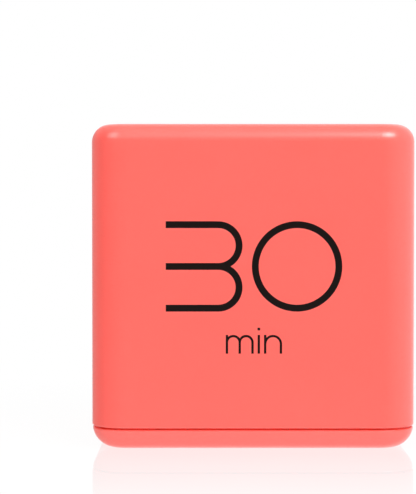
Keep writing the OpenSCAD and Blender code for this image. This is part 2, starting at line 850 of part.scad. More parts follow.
module tilt_can_y() {
    color(steel_colour) tilt_place(tilt_y_at, 90) tilt_can();
}

module tilt_plug_y() {
    color(black_colour) tilt_place(tilt_y_at, 90) tilt_plug();
}

module tilt_ball_y() {
    color(steel_colour) tilt_place(tilt_y_at, 90) tilt_ball();
}

module buzzer_plate() {
    color(brass_colour) translate([buzzer_at.x, buzzer_at.y, buzzer_z]) cylinder(r = buzzer_r, h = buzzer_t);
}

module buzzer_ceramic() {
    color("ivory") translate([buzzer_at.x, buzzer_at.y, buzzer_z + buzzer_t])
        cylinder(r = ceramic_r, h = buzzer_t);
}

// Metal frame of the switch: an open box with a slot for the stem and two ears
module switch_frame() {
    slot = stem_w + switch_travel + 4 * loose;
    color(steel_colour) translate([switch_x, switch_y, 0]) difference() {
        union() {
            block([frame_l, frame_w, frame_h], frame_z);
            block([2 * ear_x, 2 * ear_r, frame_t], frame_z);
            for (side = [-1, 1]) translate([side * ear_x, 0, frame_z]) cylinder(r = ear_r, h = frame_t);
        }
        block([frame_l - 2 * frame_t, frame_w - 2 * frame_t, frame_h], frame_z + frame_t);
        block([slot, stem_w + 4 * loose, frame_h], frame_z - over);
        for (side = [-1, 1]) translate([side * ear_x, 0, frame_z - over])
            cylinder(r = small_r + 0.2, h = frame_t + 2 * over);
    }
}

// Insulating block in the frame, with its three pins
module switch_housing() {
    size = [frame_l - 2 * frame_t - 2 * loose, frame_w - 2 * frame_t - 2 * loose];
    color("saddlebrown") translate([switch_x, switch_y, 0]) {
        block([size.x, size.y, frame_z + frame_h - housing_z], housing_z);
        for (step = [-1:1]) translate([step * pin_step, 0, 0])
            block([0.6, 0.6, pin_l + over], frame_z + frame_h - over);
    }
}

// Slider inside the frame and the stem that reaches down into the knob
module switch_stem() {
    slider = [stem_w + 2 * slider_lip, frame_w - 2 * frame_t - 4 * loose, slider_t];
    color(black_colour) translate([switch_x - switch_travel / 2, switch_y, 0]) {
        block(slider, frame_z + frame_t + 2 * loose);
        block([stem_w, stem_w, frame_z + frame_t + 3 * loose - stem_z], stem_z);
    }
}

// Knob with a cover flange inside the floor, ridges on its tip and a socket for the stem
module switch_knob() {
    ridge = 0.4;
    ridges = 3;
    color(black_colour) translate([switch_x - switch_travel / 2, switch_y, 0]) difference() {
        union() {
            block([flange_l, flange_w, flange_t], flange_z);
            block([knob_l, knob_w, flange_z + over - knob_set], knob_set);
        }
        block([stem_w + loose, stem_w + loose, flange_t + 2 * over], stem_z);
        for (step = [1:ridges]) translate([(step - (ridges + 1) / 2) * 2.5 * ridge, 0, 0])
            block([ridge, knob_w + over, ridge + over], knob_set - over);
    }
}

module switch_screws() {
    color(steel_colour) for (side = [-1, 1])
        translate([switch_x + side * ear_x, switch_y, frame_z + frame_t]) rotate([180, 0, 0])
            screw(small_r, small_l, small_head_r, small_head_h);
}

// Contact plate on the bay's left end wall behind the cell at the given step, with its solder lug
module end_plate(step) {
    translate([-bay_l / 2 + plate_t / 2, bay_y + step, 0]) {
        block([plate_t, plate_w, plate_h], plate_z);
        block([plate_t, lug_w, lug_z - cell_z], cell_z);
    }
}

// Dimple that meets a cell's nub, pointing along +X
module dimple() {
    rotate([0, 90, 0]) cylinder(r = nub_r - 0.3, h = dimple_h);
}

module positive_contact() {
    color(steel_colour) {
        end_plate(cell_step);
        translate([-bay_l / 2 + plate_t, bay_y + cell_step, cell_z]) dimple();
    }
}

module negative_contact() {
    color(steel_colour) end_plate(-cell_step);
}

module bridge_contact() {
    color(steel_colour) translate([bay_l / 2 - plate_t / 2, bay_y, 0]) {
        block([plate_t, 2 * cell_step + plate_w, plate_h], plate_z);
        translate([-plate_t / 2, -cell_step, cell_z]) rotate(180) dimple();
    }
}

// Cell standing on its flat end
module cell() {
    r = cell_d / 2;
    rim = 0.4;
    body_l = cell_l - nub_h;
    rotate_extrude() polygon([[0, 0], [r - rim, 0], [r, rim], [r, body_l - rim], [r - rim, body_l],
        [nub_r, body_l], [nub_r, cell_l], [0, cell_l]]);
}

module cell_rear() {
    color(black_colour) translate([-bay_l / 2 + plate_t + dimple_h + cell_l, bay_y + cell_step, cell_z])
        rotate([0, -90, 0]) cell();
}

module cell_front() {
    color(black_colour) translate([bay_l / 2 - plate_t - dimple_h - cell_l, bay_y - cell_step, cell_z])
        rotate([0, 90, 0]) cell();
}

// Closed tube of triangles along points, with a direction across the tube at each point
function unit(v) = v / norm(v);
function tangent(path, i) = unit(path[min(i + 1, len(path) - 1)] - path[max(i - 1, 0)]);
function tube_ring(at, along, across, r, sides) =
    let (u = unit(across - (across * along) * along), v = cross(along, u))
    [for (k = [0:sides - 1]) at + r * (cos(360 * k / sides) * u + sin(360 * k / sides) * v)];

module tube(path, along, across, d, sides) {
    last = len(path) - 1;
    points = [for (i = [0:last]) each tube_ring(path[i], along[i], across[i], d / 2, sides)];
    walls = [for (i = [0:last - 1], k = [0:sides - 1])
        let (a = i * sides + k, b = i * sides + (k + 1) % sides)
        each [[a, b + sides, b], [a, a + sides, b + sides]]];
    end = last * sides;
    caps = [for (k = [1:sides - 2]) each [[0, k, k + 1], [end, end + k + 1, end + k]]];
    polyhedron(points, concat(walls, caps));
}

// Route of a spring along +X: height along the axis, and angle round it
spring_rings = 8;
spring_steps = ceil(spring_turns * spring_rings);
spring_lead = spring_wire + spring_bend;
function bend_spot(beta, r) =
    [spring_wire + spring_bend * sin(beta), spring_bend * (1 - cos(beta)) / r * 180 / PI];
spring_in = [[0, 0], [spring_wire / 2, 0], [spring_wire, 0],
    for (beta = [30, 60]) bend_spot(beta, spring_r)];
spring_start = bend_spot(90, spring_r)[1];
spring_end = spring_start + 360 * spring_turns;
spring_middle = [for (i = [0:spring_steps]) [
    spring_lead + spring_turns * spring_pitch * i / spring_steps,
    spring_start + 360 * spring_turns * i / spring_steps]];
spring_finish = spring_end + bend_spot(90, spring_tip_r)[1];
spring_out = [
    for (beta = [60, 30])
        let (spot = bend_spot(beta, spring_tip_r)) [spring_l - spot[0], spring_finish - spot[1]],
    for (x = [spring_wire, spring_wire / 2, 0]) [spring_l - x, spring_finish]];
spring_spots = concat(spring_in, spring_middle, spring_out);
function spring_radius(x) =
    let (share = (x - spring_lead) / (spring_l - 2 * spring_lead))
    spring_r + (spring_tip_r - spring_r) * max(0, min(1, share));
spring_across = [for (spot = spring_spots) [0, sin(spot[1]), cos(spot[1])]];
spring_path = [for (i = [0:len(spring_spots) - 1])
    [spring_spots[i][0], 0, 0] + spring_radius(spring_spots[i][0]) * spring_across[i]];
spring_last = len(spring_path) - 1;
spring_along = [for (i = [0:spring_last])
    i < 2 || i > spring_last - 2 ? [1, 0, 0] : tangent(spring_path, i)];
spring_least_gap = min([for (i = [0:spring_last], j = [i + 5:spring_last])
    norm(spring_path[i] - spring_path[j])]) - spring_wire;
echo(spring_least_gap = spring_least_gap);

module contact_spring() {
    tube(spring_path, spring_along, spring_across, spring_wire, 6);
}

module negative_spring() {
    color(steel_colour) translate([-bay_l / 2 + plate_t, bay_y - cell_step, cell_z]) contact_spring();
}

module bridge_spring() {
    color(steel_colour) translate([bay_l / 2 - plate_t, bay_y + cell_step, cell_z])
        rotate(180) contact_spring();
}

// Wire that rises from one point to another, upright at both ends
wire_steps = 12;
wire_sides = 8;

module wire(from, to) {
    path = [for (i = [0:wire_steps]) let (share = (1 - cos(180 * i / wire_steps)) / 2)
        [from.x + (to.x - from.x) * share, from.y + (to.y - from.y) * share,
            from.z + (to.z - from.z) * i / wire_steps]];
    along = [for (i = [0:wire_steps]) i == 0 || i == wire_steps ? [0, 0, 1] : tangent(path, i)];
    across = [for (i = [0:wire_steps]) [1, 0, 0]];
    tube(path, along, across, wire_d, wire_sides);
}

// One wire from the ceramic disc and one from the bare rim of the brass plate
module buzzer_wires() {
    rim_turn = 20;
    rim_at = buzzer_at + (buzzer_r - ceramic_edge / 2) * [sin(rim_turn), -cos(rim_turn)];
    color(red_colour) wire([buzzer_at.x - ceramic_r / 2, buzzer_at.y, buzzer_z + 2 * buzzer_t],
        [front_pads[0], front_pad_y, board_z]);
    color(black_colour) wire([rim_at.x, rim_at.y, buzzer_z + buzzer_t],
        [front_pads[1], front_pad_y, board_z]);
}

module switch_wires() {
    for (i = [0, 1]) color(i == 0 ? black_colour : [0.9, 0.9, 0.88])
        wire([switch_x + (i - 1) * pin_step, switch_y, pin_z], [front_pads[2 + i], front_pad_y, board_z]);
}

module battery_wires() {
    lug_x = -bay_l / 2 + plate_t / 2;
    color(black_colour) wire([lug_x, bay_y - cell_step, lug_z], [side_pad_x, side_pads[0], board_z]);
    color(red_colour) wire([lug_x, bay_y + cell_step, lug_z], [side_pad_x, side_pads[1], board_z]);
}

// Door with a round hinge end at -X, hook tabs, a snap arm with a bead, and grip grooves
module battery_door() {
    corner = 0.8;
    arm_x = bay_l / 2 + bead_bite - bead_r - arm_t / 2;
    riser = 1.6;
    riser_x = -bay_l / 2 + tab_clear;
    tab_l = riser_x + riser - hinge_x + tab_reach;
    groove = 0.5;
    color(case_colour) translate([0, bay_y, 0]) difference() {
        union() {
            intersection() {
                rounded_plate(door_l, door_w, corner, door_t, door_set);
                translate([hinge_x, -door_w, 0]) cube([door_l, 2 * door_w, 2 * door_z]);
            }
            translate([hinge_x, door_w / 2, hinge_z]) rotate([90, 0, 0])
                cylinder(r = door_t / 2, h = door_w);
            for (side = [-1, 1]) translate([0, side * tab_y, 0]) {
                translate([riser_x + riser / 2, 0, 0])
                    block([riser, tab_w, tab_z + tab_t - hinge_z], hinge_z);
                translate([hinge_x - tab_reach + tab_l / 2, 0, 0]) block([tab_l, tab_w, tab_t], tab_z);
            }
            translate([arm_x, 0, 0]) block([arm_t, arm_w, arm_z - hinge_z], hinge_z);
            translate([arm_x + arm_t / 2, arm_w / 2, tab_z + bead_r]) rotate([90, 0, 0])
                cylinder(r = bead_r, h = arm_w);
        }
        for (step = [1:grip_count]) translate([door_l / 2 - 2 - 4 * groove * step, 0, 0])
            block([groove, grip_l, groove / 2 + over], door_set - over);
    }
}

main_shell();
base_cover();
cover_screws();
print_5();
print_15();
print_30();
print_60();
display_lens();
lens_tape();
lcd_polarizer();
lcd_front_glass();
lcd_rear_glass();
lcd_reflector();
lcd_holder();
zebra_strips();
main_board();
board_screws();
chip_blob();
crystal();
capacitor();
chip_resistors();
tilt_can_x();
tilt_plug_x();
tilt_ball_x();
tilt_can_y();
tilt_plug_y();
tilt_ball_y();
buzzer_plate();
buzzer_ceramic();
buzzer_wires();
switch_frame();
switch_housing();
switch_stem();
switch_knob();
switch_screws();
switch_wires();
positive_contact();
negative_contact();
negative_spring();
bridge_contact();
bridge_spring();
cell_rear();
cell_front();
battery_wires();
battery_door();
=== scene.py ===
"""Looks of a cube timer: finishes, display, cells, springs, wires and a plain studio round its solids."""
import math

import bmesh
import bpy
from mathutils import Matrix, Vector


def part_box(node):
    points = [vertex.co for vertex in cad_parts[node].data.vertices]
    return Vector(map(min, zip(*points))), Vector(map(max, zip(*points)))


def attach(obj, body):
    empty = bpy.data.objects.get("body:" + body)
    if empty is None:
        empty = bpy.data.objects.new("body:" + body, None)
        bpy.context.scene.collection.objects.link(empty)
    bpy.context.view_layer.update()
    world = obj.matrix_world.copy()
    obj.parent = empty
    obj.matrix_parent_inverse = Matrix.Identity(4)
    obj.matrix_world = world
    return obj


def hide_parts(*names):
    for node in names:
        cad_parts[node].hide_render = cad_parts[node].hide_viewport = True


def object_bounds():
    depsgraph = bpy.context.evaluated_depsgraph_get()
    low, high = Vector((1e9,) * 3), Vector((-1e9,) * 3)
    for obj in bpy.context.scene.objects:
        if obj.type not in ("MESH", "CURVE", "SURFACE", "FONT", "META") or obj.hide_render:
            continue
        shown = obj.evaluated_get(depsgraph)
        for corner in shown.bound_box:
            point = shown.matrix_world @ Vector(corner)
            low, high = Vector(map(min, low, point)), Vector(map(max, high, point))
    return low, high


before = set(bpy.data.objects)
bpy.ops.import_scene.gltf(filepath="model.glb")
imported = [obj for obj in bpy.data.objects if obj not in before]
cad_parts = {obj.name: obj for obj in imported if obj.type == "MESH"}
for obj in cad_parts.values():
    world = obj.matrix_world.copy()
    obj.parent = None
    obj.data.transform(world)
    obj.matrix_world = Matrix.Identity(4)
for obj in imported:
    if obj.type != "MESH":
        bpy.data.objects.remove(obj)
cad_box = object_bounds()
scene = bpy.context.scene
scene.view_settings.view_transform = "Standard"
MM = 0.001
X, Z = Vector((1, 0, 0)), Vector((0, 0, 1))
WHITE = (1, 1, 1, 1)

# Camera, at the photograph's place
PHOTO_HEIGHT_PX = 494
FOCAL_PX = 1596
SENSOR_MM = 36
CAMERA_AT = Vector((-9.23, -353.02, 50.2)) * MM
CAMERA_PITCH = 0.0282


def add_camera():
    data = bpy.data.cameras.new("camera")
    data.sensor_width = SENSOR_MM
    data.lens = FOCAL_PX / PHOTO_HEIGHT_PX * SENSOR_MM
    camera = bpy.data.objects.new("camera", data)
    camera.location = CAMERA_AT
    camera.rotation_euler = (math.pi / 2 - CAMERA_PITCH, 0, 0)
    scene.collection.objects.link(camera)
    scene.camera = camera


# Node helpers
MIDDLE_SPAN = (0.3, 0.7)
BEVEL_SAMPLES = 4


def set_input(tree, socket, value):
    """Links an input to another node's output, or sets it to a value."""
    if isinstance(value, bpy.types.NodeSocket):
        tree.links.new(value, socket)
    else:
        socket.default_value = value


def add_node(tree, kind, inputs=None, **settings):
    """Adds a shader node, sets its properties, and sets or links its inputs."""
    made = tree.nodes.new("ShaderNode" + kind)
    for key, value in settings.items():
        setattr(made, key, value)
    for key, value in (inputs or {}).items():
        set_input(tree, made.inputs[key], value)
    return made


def math_node(tree, operation, *values):
    return add_node(tree, "Math", dict(enumerate(values)), operation=operation).outputs[0]


def mix_shader(tree, share, first, second):
    return add_node(tree, "MixShader", {0: share, 1: first, 2: second}).outputs[0]


def split(tree, vector):
    """The X, Y and Z of a vector."""
    return add_node(tree, "SeparateXYZ", {0: vector}).outputs


def coordinates(tree, kind):
    return add_node(tree, "TexCoord").outputs[kind]


def place(tree, stretch=(1, 1, 1)):
    """Place on the object in metres, stretched for streaks."""
    return add_node(tree, "Mapping", {"Vector": coordinates(tree, "Object"), "Scale": stretch}).outputs[0]


def noise(tree, size, detail=2.0, stretch=(1, 1, 1)):
    """Noise value whose features are about size millimetres wide."""
    inputs = {"Vector": place(tree, stretch), "Scale": 1 / (size * MM), "Detail": detail}
    return add_node(tree, "TexNoise", inputs).outputs[0]


def between(tree, value, low, high, start=0.0, end=1.0):
    """Maps a value from start..end to low..high, held at the ends."""
    inputs = {"Value": value, "From Min": start, "From Max": end, "To Min": low, "To Max": high}
    return add_node(tree, "MapRange", inputs).outputs[0]


def ramp(tree, value, first, last, span=MIDDLE_SPAN):
    """Colour that goes from first to last as a value crosses a span."""
    made = add_node(tree, "ValToRGB", {"Fac": value})
    for element, position, colour in zip(made.color_ramp.elements, span, (first, last)):
        element.position = position
        element.color = (*colour, 1)
    return made.outputs[0]


def relief(tree, height, depth, edge=0):
    """Normal of a surface with that height, depth millimetres deep, and edges rounded by a radius."""
    inputs = {"Height": height, "Distance": depth * MM}
    if edge:
        inputs["Normal"] = add_node(tree, "Bevel", {"Radius": edge * MM}, samples=BEVEL_SAMPLES).outputs[0]
    return add_node(tree, "Bump", inputs).outputs[0]


def new_material(name):
    made = bpy.data.materials.new(name)
    made.use_nodes = True
    return made, made.node_tree, made.node_tree.nodes["Principled BSDF"]


def set_shader(tree, shader, **inputs):
    """Sets or links a shader's inputs, written with _ for the spaces in their names."""
    for key, value in inputs.items():
        set_input(tree, shader.inputs[key.replace("_", " ")], value)


def tinted(colour, share):
    return tuple(min(1.0, c * share) for c in colour)


# World: strengths of the light and of the mirror images, each with the part of the direction's
# X, Y or Z over which it fades, and the shares that the images keep on the left and at the back
LIGHT_LEVEL = 0.4
LIGHT_LEFT, LIGHT_LEFT_SPAN = 0.26, (-0.85, 0)
LIGHT_BEHIND, LIGHT_BEHIND_SPAN = 0.8, (0.2, 0.7)
LIGHT_BELOW, LIGHT_BELOW_SPAN = 1.3, (-0.5, 0)
IMAGE_RIGHT, IMAGE_RIGHT_SPAN = 1.5, (0.35, 0.95)
IMAGE_BEHIND, IMAGE_BEHIND_SPAN = 1.25, (0.1, 0.4)
LEFT_SHARE, LEFT_SHARE_SPAN = 0.45, (-0.45, 0.05)
IMAGE_BELOW, IMAGE_BELOW_SPAN = 1.9, (-0.3, -0.15)
BACK_SHARE, BACK_SHARE_SPAN = 0.4, (-0.3, 0.5)


def background(tree, strength):
    return add_node(tree, "Background", {"Color": WHITE, "Strength": strength}).outputs[0]


def add_world():
    """White behind the object, a soft light, and mirror images that are dark in front and to the left."""
    world = bpy.data.worlds.new("studio")
    scene.world = world
    world.use_nodes = True
    tree = world.node_tree
    rays = add_node(tree, "LightPath").outputs
    way = split(tree, coordinates(tree, "Generated"))
    light = between(tree, way["X"], LIGHT_LEFT, LIGHT_LEVEL, *LIGHT_LEFT_SPAN)
    light = math_node(tree, "MAXIMUM", light, between(tree, way["Y"], 0, LIGHT_BEHIND, *LIGHT_BEHIND_SPAN))
    light = math_node(tree, "MAXIMUM", light, between(tree, way["Z"], LIGHT_BELOW, 0, *LIGHT_BELOW_SPAN))
    right = between(tree, way["X"], 0, IMAGE_RIGHT, *IMAGE_RIGHT_SPAN)
    behind = between(tree, way["Y"], 0, IMAGE_BEHIND, *IMAGE_BEHIND_SPAN)
    behind = math_node(tree, "MULTIPLY", behind, between(tree, way["X"], LEFT_SHARE, 1, *LEFT_SHARE_SPAN))
    below = between(tree, way["Z"], IMAGE_BELOW, 0, *IMAGE_BELOW_SPAN)
    below = math_node(tree, "MULTIPLY", below, between(tree, way["Y"], 1, BACK_SHARE, *BACK_SHARE_SPAN))
    image = math_node(tree, "MAXIMUM", math_node(tree, "MAXIMUM", right, behind), below)
    mixed = mix_shader(tree, rays["Is Glossy Ray"], background(tree, light), background(tree, image))
    seen = math_node(tree, "MAXIMUM", rays["Is Camera Ray"], rays["Is Transmission Ray"])
    seen = math_node(tree, "MAXIMUM", seen, rays["Is Singular Ray"])
    final = mix_shader(tree, seen, mixed, background(tree, 1))
    tree.links.new(final, tree.nodes["World Output"].inputs["Surface"])


# Soft boxes: azimuth from the front to the right and elevation in degrees, size in metres, radiance,
# and further radiance for shine alone, from a lamp just in front of the box
SOFT_BOXES = {
    "overhead": (0, 60, (2.8, 2.5), 0.85, 0),
    "key": (35.2, 41.8, (0.8, 0.64), 6.85, 6.3),
    "side": (-52, 37, (0.6, 0.7), 2.7, 2.5),
}
BOX_DISTANCE = 1.6
SHINE_DISTANCE = 1.55
# Power of a lamp for each square metre and unit of radiance
LAMP_POWER = 4


def add_lamp(name, azimuth, elevation, size, radiance, distance, lit=True):
    """Rectangular lamp that faces the object, or only shines in it."""
    turn, lift = math.radians(azimuth), math.radians(elevation)
    away = Vector((math.sin(turn) * math.cos(lift), -math.cos(turn) * math.cos(lift), math.sin(lift)))
    data = bpy.data.lights.new(name, "AREA")
    data.shape = "RECTANGLE"
    data.size, data.size_y = size
    data.energy = LAMP_POWER * radiance * size[0] * size[1]
    lamp = bpy.data.objects.new(name, data)
    lamp.location = (cad_box[0] + cad_box[1]) / 2 + away * distance
    lamp.rotation_euler = away.to_track_quat("Z", "Y").to_euler()
    lamp.visible_diffuse = lit
    scene.collection.objects.link(lamp)


def add_lamps():
    for name, (azimuth, elevation, size, radiance, shine) in SOFT_BOXES.items():
        add_lamp(name, azimuth, elevation, size, radiance, BOX_DISTANCE)
        if shine:
            add_lamp(name + "_shine", azimuth, elevation, size, shine, SHINE_DISTANCE, lit=False)


# Floor: size and reaches in metres, and the shares of shadow and mirror image beside the object
FLOOR_SIZE = 6
FLOOR_DROP = 0.02 * MM
FLOOR_GREY = (0.9, 0.9, 0.9, 1)
SHADOW_SHARE, SHADOW_REACH = 0.05, 0.12
MIRROR_SHARE, MIRROR_REACH = 0.24, 0.075


def add_floor():
    """White floor with the object's shadow and a faint mirror image that fades with distance."""
    half = FLOOR_SIZE / 2
    mesh = bpy.data.meshes.new("floor")
    corners = [(-half, -half, 0), (half, -half, 0), (half, half, 0), (-half, half, 0)]
    mesh.from_pydata(corners, [], [(0, 1, 2, 3)])
    floor = bpy.data.objects.new("floor", mesh)
    floor.location.z = cad_box[0].z - FLOOR_DROP
    scene.collection.objects.link(floor)
    for kind in ("diffuse", "glossy", "transmission", "volume_scatter", "shadow"):
        setattr(floor, "visible_" + kind, False)
    mesh.materials.append(floor_material())


def floor_material():
    """White from above, clear from below, with shadow and mirror image mixed in near the object."""
    made, tree, shader = new_material("floor")
    tree.nodes.remove(shader)
    spot = split(tree, coordinates(tree, "Object"))
    squares = []
    for axis, reach in (("X", cad_box[1].x), ("Y", cad_box[1].y)):
        past = math_node(tree, "SUBTRACT", math_node(tree, "ABSOLUTE", spot[axis]), reach)
        past = math_node(tree, "MAXIMUM", past, 0.0)
        squares.append(math_node(tree, "MULTIPLY", past, past))
    distance = math_node(tree, "SQRT", math_node(tree, "ADD", *squares))
    shadow = between(tree, distance, SHADOW_SHARE, 0, 0, SHADOW_REACH)
    mirror = between(tree, distance, MIRROR_SHARE, 0, 0, MIRROR_REACH)
    white = add_node(tree, "Emission", {"Color": WHITE, "Strength": 1}).outputs[0]
    matt = add_node(tree, "BsdfDiffuse", {"Color": FLOOR_GREY}).outputs[0]
    gloss = add_node(tree, "BsdfGlossy", {"Color": WHITE, "Roughness": 0}).outputs[0]
    clear = add_node(tree, "BsdfTransparent").outputs[0]
    shiny = mix_shader(tree, mirror, mix_shader(tree, shadow, white, matt), gloss)
    sided = mix_shader(tree, add_node(tree, "NewGeometry").outputs["Backfacing"], shiny, clear)
    tree.links.new(sided, tree.nodes["Material Output"].inputs["Surface"])
    return made


# Finishes, with lengths in millimetres
GLOSS_SPREAD = 0.15


def finish(name, colour, roughness, grain=0.3, tint=0.04, depth=0.002, stretch=(1, 1, 1), edge=0, **shine):
    """Material whose colour, gloss and surface vary a little with one grain."""
    made, tree, shader = new_material(name)
    mottle = noise(tree, grain, 3, stretch)
    paint = ramp(tree, mottle, tinted(colour, 1 - tint), tinted(colour, 1 + tint))
    gloss = between(tree, mottle, roughness * (1 - GLOSS_SPREAD), roughness * (1 + GLOSS_SPREAD))
    normal = relief(tree, mottle, depth, edge)
    set_shader(tree, shader, Base_Color=paint, Roughness=gloss, Normal=normal, **shine)
    return made


METAL_GRAIN = 0.5
METAL_TINT = 0.12
METAL_DEPTH = 0.0015


def brushed(name, colour, roughness, stretch, edge=0):
    """Bare metal with fine streaks along the axis that isn't stretched."""
    return finish(name, colour, roughness, METAL_GRAIN, METAL_TINT, METAL_DEPTH, stretch, edge, Metallic=1)


# Case plastic
CORAL = (0.98, 0.131, 0.108)
CLOUD_SIZE = 14
CLOUD_TINTS = (0.985, 1.01)
CASE_GRAIN = 0.12
CASE_GRAIN_DEPTH = 0.0012
CASE_ROUGHNESS = (0.24, 0.34)
CASE_EDGE = 0.3
CASE_IOR = 1.5
# Painted shade: a deeper red mixed into the colour where ambient occlusion finds narrow grooves, standing
# in for light that bounces inside the red plastic
GROOVE_PAINTED_SHADE = (1, 0.05, 0.022)
PAINTED_SHADE_REACH = 0.7
PAINTED_SHADE_SPAN = (0.3, 0.8)
PAINTED_SHADE_SAMPLES = 8
GLOW_WEIGHT = 0.2
GLOW_RADII = (1, 0.3, 0.2)
GLOW_DEPTH = 0.6


def case_plastic():
    """Satin coral plastic: faint flow clouds, a painted shade of deeper red in narrow grooves for the light
    that bounces there, and a fine moulded grain.
    """
    made, tree, shader = new_material("case")
    clouds = noise(tree, CLOUD_SIZE, 3)
    grain = noise(tree, CASE_GRAIN)
    paint = ramp(tree, clouds, *(tinted(CORAL, tint) for tint in CLOUD_TINTS))
    # Painted shade: where the surface is hemmed in within this reach, the colour turns to the deeper groove
    # red
    inputs = {"Distance": PAINTED_SHADE_REACH * MM}
    painted_shade = add_node(tree, "AmbientOcclusion", inputs, samples=PAINTED_SHADE_SAMPLES).outputs["AO"]
    painted_shade = between(tree, painted_shade, 0, 1, *PAINTED_SHADE_SPAN)
    paint = add_node(tree, "MixRGB", {"Fac": painted_shade, "Color1": (*GROOVE_PAINTED_SHADE, 1), "Color2": paint}).outputs[0]
    gloss = between(tree, grain, *CASE_ROUGHNESS)
    normal = relief(tree, grain, CASE_GRAIN_DEPTH, CASE_EDGE)
    set_shader(tree, shader, Base_Color=paint, Roughness=gloss, Normal=normal, IOR=CASE_IOR)
    set_shader(tree, shader, Subsurface_Weight=GLOW_WEIGHT, Subsurface_Radius=GLOW_RADII,
               Subsurface_Scale=GLOW_DEPTH * MM)
    return made


# Display lens and film
LENS_TINT = (0.97, 0.985, 0.98, 1)
LENS_SHADE = (0.95, 0.97, 0.96, 1)
LENS_HAZE = 6
LENS_ROUGHNESS = (0.02, 0.05)
LENS_IOR = 1.49
FILM_TINTS = ((0.36, 0.41, 0.33), (0.41, 0.46, 0.37))
FILM_CLOUDS = 9
FILM_FIBRE = 0.05
FILM_STRETCH = (1, 12, 1)
FILM_DEPTH = 0.001
FILM_ROUGHNESS = (0.2, 0.3)


def clear_lens():
    """Clear acrylic that lets the lamps reach the display."""
    made, tree, shader = new_material("lens")
    gloss = between(tree, noise(tree, LENS_HAZE), *LENS_ROUGHNESS)
    set_shader(tree, shader, Base_Color=LENS_TINT, Roughness=gloss, Transmission_Weight=1, IOR=LENS_IOR)
    lamp = add_node(tree, "LightPath").outputs["Is Shadow Ray"]
    clear = add_node(tree, "BsdfTransparent", {"Color": LENS_SHADE}).outputs[0]
    mixed = mix_shader(tree, lamp, shader.outputs[0], clear)
    tree.links.new(mixed, tree.nodes["Material Output"].inputs["Surface"])
    return made


def display_film():
    """Front polarizer over the reflector: grey green with a fine fibre."""
    made, tree, shader = new_material("polarizer")
    paint = ramp(tree, noise(tree, FILM_CLOUDS), *FILM_TINTS)
    fibre = noise(tree, FILM_FIBRE, 1, FILM_STRETCH)
    set_shader(tree, shader, Base_Color=paint, Roughness=between(tree, fibre, *FILM_ROUGHNESS),
               Normal=relief(tree, fibre, FILM_DEPTH))
    return made


# Board, with the radians that a wave texture turns by over one unit of its scale
BOARD_TINTS = ((0.012, 0.075, 0.03), (0.03, 0.15, 0.055))
BOARD_GRAIN = 0.4
BOARD_ROUGHNESS = (0.24, 0.36)
TRACK_PITCH = 1.1
TRACK_DEPTH = 0.02
TRACK_EDGE_SPAN = (0.7, 0.76)
PATCH_SIZE = 6
PATCH_RANDOMNESS = 0.7
WAVE_TURN = 20


def solder_mask():
    """Green board with copper tracks under the mask, in patches where they run along or across."""
    made, tree, shader = new_material("board")
    scale = 2 * math.pi / (WAVE_TURN * TRACK_PITCH * MM)
    waves = []
    for way in "XY":
        inputs = {"Vector": place(tree), "Scale": scale}
        waves.append(add_node(tree, "TexWave", inputs, bands_direction=way).outputs["Fac"])
    inputs = {"Vector": place(tree), "Scale": 1 / (PATCH_SIZE * MM), "Randomness": PATCH_RANDOMNESS}
    patch = add_node(tree, "TexVoronoi", inputs, distance="CHEBYCHEV").outputs["Color"]
    across = math_node(tree, "GREATER_THAN", split(tree, patch)["X"], 0.5)
    tracks = add_node(tree, "Mix", {0: across, 2: waves[0], 3: waves[1]}).outputs[0]
    copper = between(tree, tracks, 0, 1, *TRACK_EDGE_SPAN)
    paint = ramp(tree, copper, *BOARD_TINTS, span=(0, 1))
    gloss = between(tree, noise(tree, BOARD_GRAIN), *BOARD_ROUGHNESS)
    set_shader(tree, shader, Base_Color=paint, Roughness=gloss, Normal=relief(tree, copper, TRACK_DEPTH))
    return made


